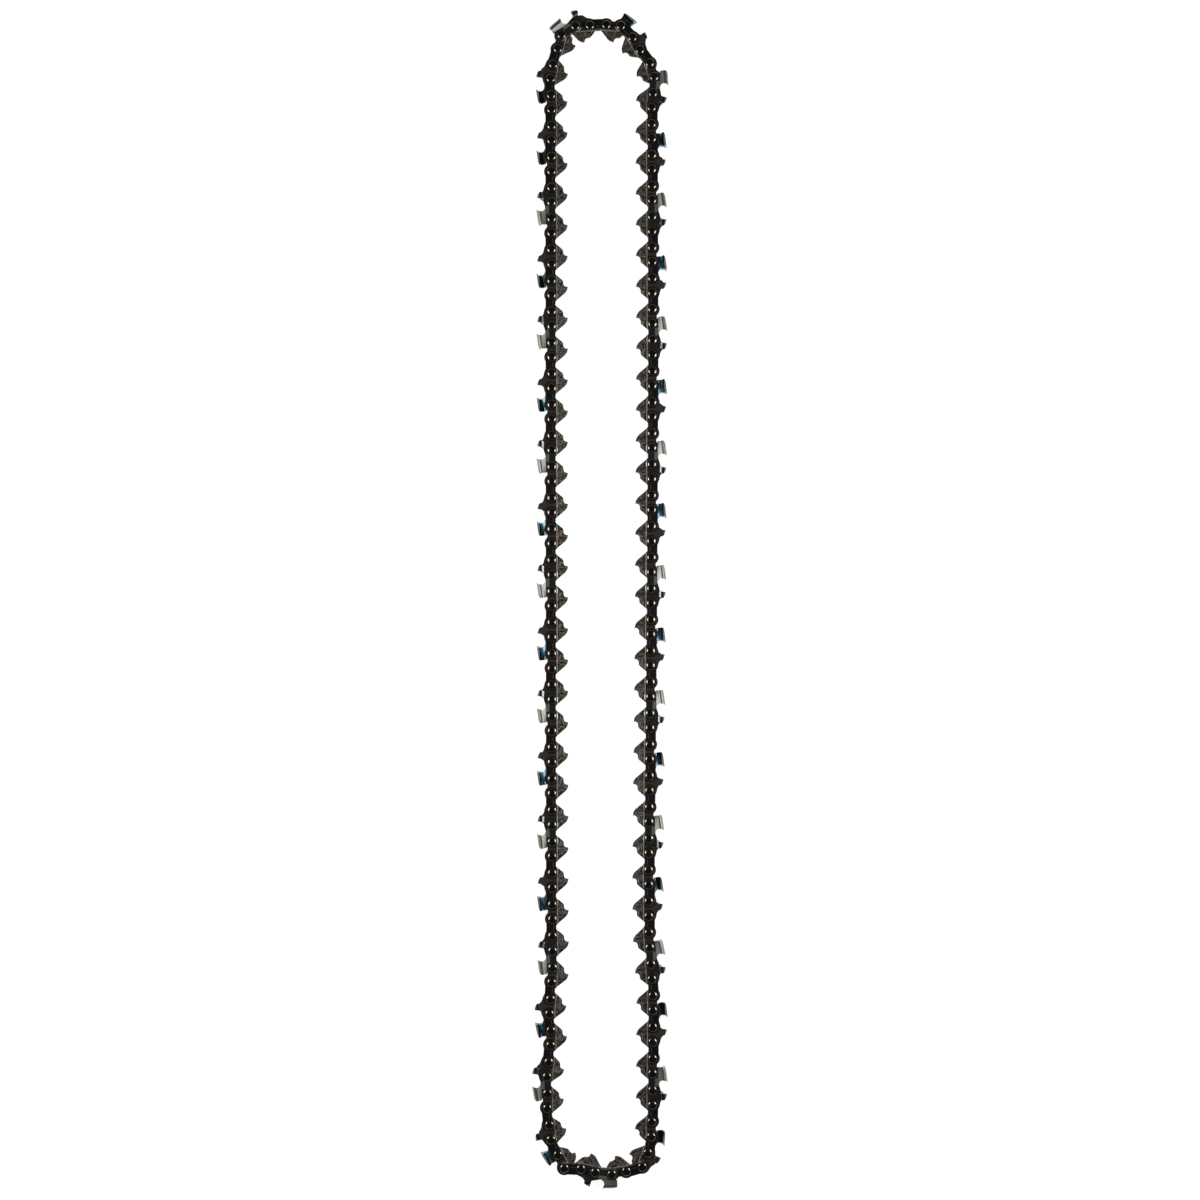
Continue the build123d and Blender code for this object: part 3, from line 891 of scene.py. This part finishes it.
def drive_finish():
    """Lines along the chain, turned at the rear and bent by a slower noise, below a painted highlight on the
    ledge.
    """
    material, tree, shader, place, parts, own = steel("drive_link_coined")
    patches, grain = grained(tree, place, own, DRIVE_GRAIN)
    link = times(tree, own, LINK_SHIFT)
    swirl = noise(tree, place, link, Scale=SWIRL[0])
    bend = times(tree, maths(tree, "SUBTRACT", swirl, 0.5), SWIRL[1])
    turned = ramped(tree, parts[0], *REAR_TURN, 1.0, 0.0)
    slant = maths(tree, "ADD", parts[1], times(tree, parts[0], FRONT_SLANT))
    steep = maths(tree, "ADD", parts[0], times(tree, parts[1], REAR_SLANT))
    across = between(tree, turned, slant, steep)
    along = between(tree, turned, parts[0], parts[1])
    lines = node(tree, "ShaderNodeCombineXYZ", {
        0: times(tree, along, LINE_STRETCH), 1: maths(tree, "ADD", across, bend), 2: parts[2],
    }).outputs[0]
    streaks = noise(tree, lines, link, **LINE_NOISE)
    ridge = maths(tree, "ABSOLUTE", maths(tree, "SUBTRACT", streaks, 0.5))
    fine = ramped(tree, grain, 0.0, 1.0, LINE_FAINT, 1.0)
    streak = times(tree, ramped(tree, ridge, 0.0, LINE_WIDTH, 1.0, 0.0), fine)
    tang = ramped(tree, parts[1], *TANG_ZONE, 1.0, 0.0)
    # where the painted highlight strip lies on the ledge
    ledge = times(
        tree,
        ramped(tree, parts[1], LEDGE_HIGHLIGHT_ZONE[0], LEDGE_HIGHLIGHT_ZONE[0] + LEDGE_HIGHLIGHT_FADE[0]),
        ramped(tree, parts[1], LEDGE_HIGHLIGHT_ZONE[1] - LEDGE_HIGHLIGHT_FADE[1], LEDGE_HIGHLIGHT_ZONE[1], 1.0, 0.0),
    )
    warm_highlight = ramped(tree, maths(tree, "ABSOLUTE", parts[0]), *HIGHLIGHT_WARM_ZONE, 1.0, 0.0)
    dull = mixed(tree, times(tree, patches, BODY_PATCHES), BODY_DULL, BODY_DARK)
    coined = mixed(tree, streak, TANG_DARK, TANG_LIGHT)
    skin = mixed(tree, tang, dull, coined)
    # colour of the painted highlight on the ledge
    ledge_highlight = mixed(tree, warm_highlight, LEDGE_HIGHLIGHT, LEDGE_HIGHLIGHT_WARM)
    linked(tree, mixed(tree, ledge, skin, ledge_highlight), shader.inputs["Base Color"])
    upper = ramped(tree, ledge, 0.0, 1.0, *DRIVE_METAL)
    metal = maths(tree, "MAXIMUM", times(tree, tang, TANG_METAL), upper)
    linked(tree, metal, shader.inputs["Metallic"])
    rough = ramped(tree, grain, 0.0, 1.0, *DRIVE_ROUGH)
    rough = maths(tree, "ADD", rough, times(tree, ledge, -LEDGE_GLOSS))
    linked(tree, rough, shader.inputs["Roughness"])
    bumped(tree, shader, times(tree, streak, tang), *LINE_RELIEF)
    return material


finishes["drive_links"] = drive_finish()
print("finish:", finishes["drive_links"].name)


# %% [markdown]
# ### Hard chrome on the cutters
#
# The outside of a cutter is plated, and what it mirrors gives it its bands of light and dark, soft on the
# brushed head and sharp on the glossy depth gauge. The foot and the inside of the head keep the blue of their
# heat treatment, and the oval stamp is a bare olive brown. The top plate's end and the tip of the depth gauge
# are ground, so they are pale and matt.

# %% Cutter finish
CHROME = (0.42, 0.41, 0.39)
CHROME_BLUE = (0.31, 0.365, 0.395)
GAUGE_BLUE = (0.24, 0.295, 0.325)
CHROME_MATT = 0.11  # what each skin adds to the roughness, or takes from it
GAUGE_GLOSS = 0.05
INSIDE_GLOSS = 0.22
INSIDE_LINES = 0.2  # how much of the brushing is left inside the head
BLUED = (0.040, 0.050, 0.060)
BLUED_DEEP = (0.034, 0.045, 0.060)
BLUED_PATCHES = 0.5
STAMP_OLIVE = (0.27, 0.235, 0.18)
TEAL = (0.12, 0.25, 0.34)
GROUND = (0.50, 0.48, 0.45)
END_HALF = (0.24, 0.32)  # the top plate's end lies this near to the middle plane
PLATED_FROM = (2.75, 3.15)  # where each zone begins and is full, across the link
PALE_FROM = (3.2, 4.6)
END_FROM = (6.3, 6.6)
TIP_FROM = (6.45, 6.75)
GAUGE_FROM = (1.4, 2.0)  # along the link
PLATED_METAL = (1.0, 0.45)  # chrome, and bare or blued steel
STAMP_MATT = 0.25
GROUND_MATT = 0.2
CUTTER_GRAIN = 7.0
CUTTER_ROUGH = (0.28, 0.31)
BRUSH_STRETCH = 0.12
BRUSH_SCALE = 6.0
BRUSH_RELIEF = (0.000006, 0.4)


def cutter_finish():
    """Blued on the foot, chrome from the bend up with a blue tinge between, and pale ground ends.

    The stamp's floor and the inside of the head are told by their marks.
    """
    material, tree, shader, place, parts, own = steel("cutter_chrome")
    patches, grain = grained(tree, place, own, CUTTER_GRAIN)
    mark = node(tree, "ShaderNodeAttribute", attribute_name="mark").outputs["Fac"]
    stamp = maths(tree, "MAXIMUM", mark, 0.0)
    within = maths(tree, "MULTIPLY", mark, -1.0, clamp=True)
    plated = ramped(tree, parts[1], *PLATED_FROM)
    gauge = ramped(tree, parts[0], *GAUGE_FROM)
    rear = maths(tree, "SUBTRACT", 1.0, gauge)
    pale = ramped(tree, parts[1], *PALE_FROM)
    inmost = ramped(tree, maths(tree, "ABSOLUTE", parts[2]), *END_HALF, 1.0, 0.0)
    end = times(tree, inmost, ramped(tree, parts[1], *END_FROM))
    tip = times(tree, gauge, ramped(tree, parts[1], *TIP_FROM))
    ground = maths(tree, "MAXIMUM", end, tip)
    blued = mixed(tree, times(tree, patches, BLUED_PATCHES), BLUED, BLUED_DEEP)
    chrome = mixed(tree, gauge, mixed(tree, pale, CHROME_BLUE, CHROME), GAUGE_BLUE)
    skin = mixed(tree, within, mixed(tree, plated, blued, chrome), TEAL)
    skin = mixed(tree, ground, skin, GROUND)
    # the same painted highlight along the rail-side edge of the foot
    edge_highlight = ramped(tree, parts[1], *EDGE_HIGHLIGHT_SIDE, 1.0, 0.0)
    skin = mixed(tree, edge_highlight, skin, EDGE_HIGHLIGHT)
    linked(tree, mixed(tree, stamp, skin, STAMP_OLIVE), shader.inputs["Base Color"])
    bare = maths(tree, "MAXIMUM", ground, maths(tree, "SUBTRACT", 1.0, plated))
    metal = maths(tree, "MAXIMUM", ramped(tree, bare, 0.0, 1.0, *PLATED_METAL), edge_highlight)
    linked(tree, metal, shader.inputs["Metallic"])
    matt = times(tree, stamp, STAMP_MATT)
    matt = maths(tree, "ADD", matt, times(tree, ground, GROUND_MATT))
    shine = ramped(tree, grain, 0.0, 1.0, *CUTTER_ROUGH)
    plating = times(tree, plated, ramped(tree, rear, 0.0, 1.0, -GAUGE_GLOSS, CHROME_MATT))
    plating = maths(tree, "SUBTRACT", plating, times(tree, within, INSIDE_GLOSS))
    matt = maths(tree, "ADD", matt, plating)
    linked(tree, maths(tree, "ADD", shine, matt), shader.inputs["Roughness"])
    brushed = node(tree, "ShaderNodeCombineXYZ", {
        0: times(tree, parts[0], BRUSH_STRETCH), 1: parts[1], 2: parts[2],
    }).outputs[0]
    lines = noise(tree, brushed, own, Scale=BRUSH_SCALE)
    height = times(tree, lines, ramped(tree, within, 0.0, 1.0, 1.0, INSIDE_LINES))
    bumped(tree, shader, height, *BRUSH_RELIEF)
    return material


finishes["cutters"] = cutter_finish()
print("finish:", finishes["cutters"].name)


# %% [markdown]
# ### Spun rivet heads
#
# The dome is burnished by the tool that spins it, so it is smooth and dark, a little brown from the heat.

# %% Rivet finish
RIVET_BROWN = (0.33, 0.29, 0.25)
RIVET_DARK = (0.24, 0.22, 0.20)
RIVET_GRAIN = 8.0
RIVET_ROUGH = (0.11, 0.17)


def rivet_finish():
    """Brown and dark patches under an even polish."""
    material, tree, shader, place, _, own = steel("rivet_spun", Metallic=1.0)
    patches, grain = grained(tree, place, own, RIVET_GRAIN)
    linked(tree, mixed(tree, patches, RIVET_BROWN, RIVET_DARK), shader.inputs["Base Color"])
    linked(tree, ramped(tree, grain, 0.0, 1.0, *RIVET_ROUGH), shader.inputs["Roughness"])
    return material


finishes["rivets"] = rivet_finish()
print("finish:", finishes["rivets"].name)

# %% [markdown]
# ## Laying the links along the loop
#
# One shape of each kind is copied to every link of its stretch: a point at t, u, w in the link goes to the
# link's middle plus t along its travel, u outward and w up. All links of a kind in a stretch make one piece,
# which stands for that node and rides on the stretch's body.

# %% Make the pieces
SHARP_ANGLE = 40


def laid(one, numbers, centres):
    """Copies of a shape at links, with the place in the link and the link's own number beside each point."""
    points, quads, triangles, mark = one
    count = len(numbers)
    t, u = travels[numbers], outwards[numbers]
    flat = centres[:, None] + points[None, :, :1] * t[:, None] + points[None, :, 1:2] * u[:, None]
    height = np.broadcast_to(middle_height + points[None, :, 2:], (count, len(points), 1))
    spread = np.concatenate([flat, height], axis=2).reshape(-1, 3)
    shift = (np.arange(count) * len(points))[:, None, None]
    return (
        spread, (quads + shift).reshape(-1, 4), (triangles + shift).reshape(-1, 3), np.tile(mark, count),
        np.tile(points, (count, 1)), np.repeat(np.asarray(numbers, float), len(points)),
    )


def new_piece(name, stretch, kind, rows):
    """A mesh piece in metres with its attributes, finish, body, node and slot."""
    spread, quads, triangles, mark, place, own = joined(rows)
    mesh = bpy.data.meshes.new(name)
    mesh.from_pydata((spread * MM).tolist(), [], quads.tolist() + triangles.tolist())
    for title, sort, field, values in (
        ("place", "FLOAT_VECTOR", "vector", place),
        ("own", "FLOAT", "value", own),
        ("mark", "FLOAT", "value", mark),
    ):
        layer = mesh.attributes.new(title, sort, "POINT")
        layer.data.foreach_set(field, values.astype(np.float32).ravel())
    mesh.polygons.foreach_set("use_smooth", np.ones(len(mesh.polygons), bool))
    mesh.set_sharp_from_angle(angle=math.radians(SHARP_ANGLE))
    mesh.materials.append(finishes[kind])
    piece = bpy.data.objects.new(name, mesh)
    bpy.context.scene.collection.objects.link(piece)
    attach(piece, stretch)
    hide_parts(f"{stretch}_{kind}")
    return piece


kinds = {
    "drive_links": drive_shapes,
    "tie_straps": strap_shapes,
    "cutters": cutter_shapes,
}
pieces = []
for stretch in stretches:
    for kind, shapes in kinds.items():
        rows = [
            laid(one, links[form][stretch], middles[links[form][stretch]])
            for form, one in shapes.items() if stretch in links[form]
        ]
        if rows:
            pieces.append(new_piece(f"{stretch}.{kind}", stretch, kind, rows))
    carried = sorted({n for form in ("near_strap", "far_strap") for n in links[form].get(stretch, [])})
    ends = [(number + end) % len(rivets) for number in carried for end in (0, 1)]
    pieces.append(new_piece(f"{stretch}.rivets", stretch, "rivets", [laid(rivet_shape, ends, rivets[ends])]))
print(len(pieces), "pieces,", sum(len(piece.data.polygons) for piece in pieces), "faces")

# %% [markdown]
# ## Studio
#
# The chain was photographed from straight above on white, between two soft boxes at its sides. The ceiling
# stayed dark, which is why flat steel looks black and only the leaning faces and domes catch light.

# %% Floor, world and lamps
FLOOR_HALF = 4.0
FLOOR_GREY = 0.80
FLOOR_GLOW = 0.88
FLOOR_ROUGH = 0.9
BOX_PLACE = (0.65, 0.02, 0.68)
BOX_SIZE = (0.48, 0.36)
BOX_POWER = 2.4
BOX_COLOUR = (1.0, 0.95, 0.89)
WALL_LIGHT = 0.30
WALL_COLOUR = (1.0, 0.94, 0.85)
CEILING_LIGHT = 0.02
WALL_TOP = (0.15, 0.55)  # how far directions rise where the walls end and the ceiling begins


def floor():
    """A wide square, white to the camera and in reflections, that still takes the chain's shadow."""
    corner = FLOOR_HALF * np.array([(-1, -1, 0), (1, -1, 0), (1, 1, 0), (-1, 1, 0)])
    mesh = bpy.data.meshes.new("floor")
    mesh.from_pydata(corner.tolist(), [], [(0, 1, 2, 3)])
    material = bpy.data.materials.new("white_table")
    material.use_nodes = True
    tree = material.node_tree
    shader = tree.nodes["Principled BSDF"]
    shader.inputs["Base Color"].default_value = (FLOOR_GREY, FLOOR_GREY, FLOOR_GREY, 1)
    shader.inputs["Roughness"].default_value = FLOOR_ROUGH
    shader.inputs["Specular IOR Level"].default_value = 0.0
    shader.inputs["Emission Color"].default_value = (1, 1, 1, 1)
    path = node(tree, "ShaderNodeLightPath").outputs
    seen = maths(tree, "ADD", path["Is Camera Ray"], path["Is Glossy Ray"])
    seen = maths(tree, "ADD", seen, path["Is Transmission Ray"], clamp=True)
    linked(tree, times(tree, seen, FLOOR_GLOW), shader.inputs["Emission Strength"])
    mesh.materials.append(material)
    piece = bpy.data.objects.new("floor", mesh)
    bpy.context.scene.collection.objects.link(piece)


def world():
    """Pale walls near the horizon and a dark ceiling, by the direction looked in."""
    made = bpy.data.worlds.new("studio")
    made.use_nodes = True
    tree = made.node_tree
    direction = node(tree, "ShaderNodeTexCoord").outputs["Generated"]
    rise = node(tree, "ShaderNodeSeparateXYZ", {0: direction}).outputs[2]
    light = ramped(tree, rise, *WALL_TOP, WALL_LIGHT, CEILING_LIGHT)
    linked(tree, light, tree.nodes["Background"].inputs["Strength"])
    tree.nodes["Background"].inputs["Color"].default_value = (*WALL_COLOUR, 1.0)
    bpy.context.scene.world = made


def soft_box(name, place, aim):
    """A rectangular lamp that faces a place."""
    lamp = bpy.data.lights.new(name, "AREA")
    lamp.shape = "RECTANGLE"
    lamp.size, lamp.size_y = BOX_SIZE
    lamp.energy = BOX_POWER
    lamp.color = BOX_COLOUR
    made = bpy.data.objects.new(name, lamp)
    made.location = place
    made.rotation_euler = (Vector(aim) - Vector(place)).to_track_quat("-Z", "Y").to_euler()
    bpy.context.scene.collection.objects.link(made)


floor()
world()
away, ahead, height = BOX_PLACE
for side, name in ((-1, "left"), (1, "right")):
    soft_box(f"{name}_soft_box", (side * away, ahead, height), (0.0, ahead, 0.0))
print("two soft boxes", away, "m to the sides")

# %% [markdown]
# ## Camera
#
# The camera hangs over the chain, a little off the vertical, which makes the near end slightly larger.

# %% Camera over the chain
CAMERA_AIM = (-0.00024, -0.00222, 0.0)
CAMERA_AWAY = 1.02
CAMERA_LEAN = (-1.63, -1.41)  # degrees off the vertical, to the right and upwards in the picture
CAMERA_ROLL = -0.08
CAMERA_LENS = 57.56


def camera():
    """Looks back along a line that leans off the vertical, with a slight roll."""
    back = Vector((*(math.sin(math.radians(lean)) for lean in CAMERA_LEAN), 1.0)).normalized()
    up = Vector((math.sin(math.radians(CAMERA_ROLL)), math.cos(math.radians(CAMERA_ROLL)), 0.0))
    right = up.cross(back).normalized()
    up = back.cross(right)
    data = bpy.data.cameras.new("overhead")
    data.lens = CAMERA_LENS
    made = bpy.data.objects.new("overhead", data)
    turn = Matrix((right, up, back)).transposed().to_4x4()
    made.matrix_world = Matrix.Translation(Vector(CAMERA_AIM) + back * CAMERA_AWAY) @ turn
    bpy.context.scene.collection.objects.link(made)
    bpy.context.scene.camera = made


camera()
bpy.context.scene.view_settings.view_transform = "Standard"
print("camera", CAMERA_AWAY, "m above the chain")
